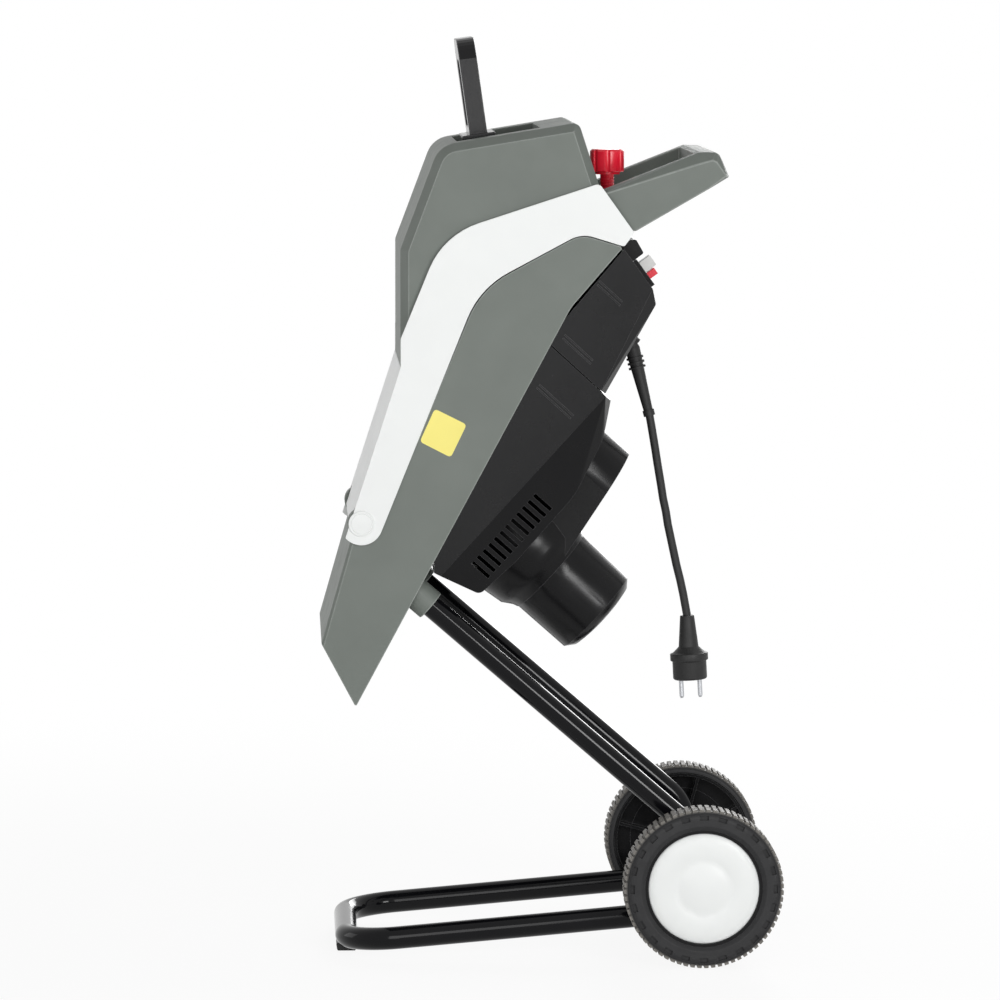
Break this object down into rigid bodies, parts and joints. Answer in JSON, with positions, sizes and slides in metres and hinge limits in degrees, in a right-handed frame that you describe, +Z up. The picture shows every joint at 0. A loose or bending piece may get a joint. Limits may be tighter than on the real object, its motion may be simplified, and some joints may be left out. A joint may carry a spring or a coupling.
{
  "type": "electric garden shredder",
  "caption": "Electric garden shredder with hinged feed hopper, plunger, discharge chute, belt-driven cutter disc and wheeled tube stand.",
  "frame": {"origin": "middle of the machine's footprint at floor level", "axes": "+X to the rear, where wheels, handle and switch are; +Y to the right side; +Z up"},
  "size_m": [0.4618, 0.402, 0.929],
  "materials": {
    "grey_plastic": "satin moulded grey-green",
    "white_plastic": "satin white",
    "black_plastic": "satin black",
    "black_tube": "gloss black powder coat",
    "black_rubber": "matt",
    "tyre_rubber": "matt moulded",
    "red_plastic": "gloss",
    "button_white": "gloss",
    "steel": "turned",
    "cast_alloy": "cast",
    "copper": "enamelled winding",
    "brass": "satin"
  },
  "bodies": {
    "chassis": {"frame_tube": "black_tube", "front_feet": "black_rubber", "wheel_axle": "steel", "axle_spacers": "black_plastic", "axle_clips": "steel", "leg_sockets": "grey_plastic", "chute_shell": "grey_plastic", "motor_housing": "black_plastic", "switch_housing": "black_plastic", "switch_frame": "black_plastic", "cord_boot": "black_rubber", "cord": "black_rubber", "plug_body": "black_rubber", "plug_pins": "steel", "bearing_carrier": "cast_alloy", "carrier_bolts": "steel", "spindle_bearings": "steel", "drive_belt": "black_rubber", "motor_bracket": "cast_alloy", "motor_bearings": "steel", "stator_core": "steel", "field_coils": "copper", "brush_holders": "brass"},
    "left_wheel": {"left_tyre": "tyre_rubber", "left_rim": "black_plastic", "left_hub_cap": "white_plastic"},
    "right_wheel": {"right_tyre": "tyre_rubber", "right_rim": "black_plastic", "right_hub_cap": "white_plastic"},
    "cutter": {"spindle": "steel", "spindle_pulley": "cast_alloy", "cutter_disc": "steel", "blades": "steel", "blade_screws": "steel", "disc_bolt": "steel"},
    "rotor": {"motor_shaft": "steel", "motor_pulley": "steel", "armature_core": "copper", "commutator": "copper", "motor_fan": "black_plastic"},
    "hopper": {"hopper_shell": "grey_plastic", "front_cover": "white_plastic", "left_arm": "white_plastic", "right_arm": "white_plastic", "left_hinge_pin": "white_plastic", "right_hinge_pin": "white_plastic", "feed_throat": "black_plastic", "rear_handle": "grey_plastic"},
    "lock_washer": {"knob_washer": "steel"},
    "lock_knob": {"locking_knob": "red_plastic"},
    "plunger": {"plunger_stem": "black_plastic", "plunger_handle": "black_plastic"},
    "start": {"start_button": "button_white"},
    "stop": {"stop_button": "red_plastic"}
  },
  "joints": [
    {"name": "left_wheel_spin", "type": "hinge", "parent": "chassis", "child": "left_wheel", "pos_m": [0.151, 0, 0.08], "axis": [0, 1, 0], "continuous": true},
    {"name": "right_wheel_spin", "type": "hinge", "parent": "chassis", "child": "right_wheel", "pos_m": [0.151, 0, 0.08], "axis": [0, 1, 0], "continuous": true},
    {"name": "cutter_spin", "type": "hinge", "parent": "chassis", "child": "cutter", "pos_m": [-0.0656, 0, 0.58041], "axis": [-0.7373, 0, 0.6756], "continuous": true},
    {"name": "motor_spin", "type": "hinge", "parent": "chassis", "child": "rotor", "pos_m": [-0.13181, 0, 0.50815], "axis": [-0.7373, 0, 0.6756], "continuous": true},
    {"name": "hopper_hinge", "type": "hinge", "parent": "chassis", "child": "hopper", "pos_m": [-0.19058, 0, 0.44401], "axis": [0, -1, 0], "range_deg": [0, 65]},
    {"name": "plunger_slide", "type": "slide", "parent": "hopper", "child": "plunger", "axis": [-0.1392, 0, 0.9903], "range_m": [0, 0.2]},
    {"name": "washer_slide", "type": "slide", "parent": "hopper", "child": "lock_washer", "axis": [0, 0, -1], "range_m": [0, 0.018]},
    {"name": "knob_turn", "type": "hinge", "parent": "lock_washer", "child": "lock_knob", "pos_m": [0.06292, 0, 0.79101], "axis": [0, 0, -1], "range_deg": [0, 2160]},
    {"name": "start_press", "type": "slide", "parent": "chassis", "child": "start", "axis": [-0.8094, 0, -0.5873], "range_m": [0, 0.0035], "stiffness_N_per_m": 900},
    {"name": "stop_press", "type": "slide", "parent": "chassis", "child": "stop", "axis": [-0.8094, 0, -0.5873], "range_m": [0, 0.0035], "stiffness_N_per_m": 900}
  ],
  "couplings": [
    {"joint": "motor_spin", "follows": "cutter_spin", "ratio": 4},
    {"joint": "knob_turn", "follows": "washer_slide", "rad_per_m": 2094.4}
  ]
}
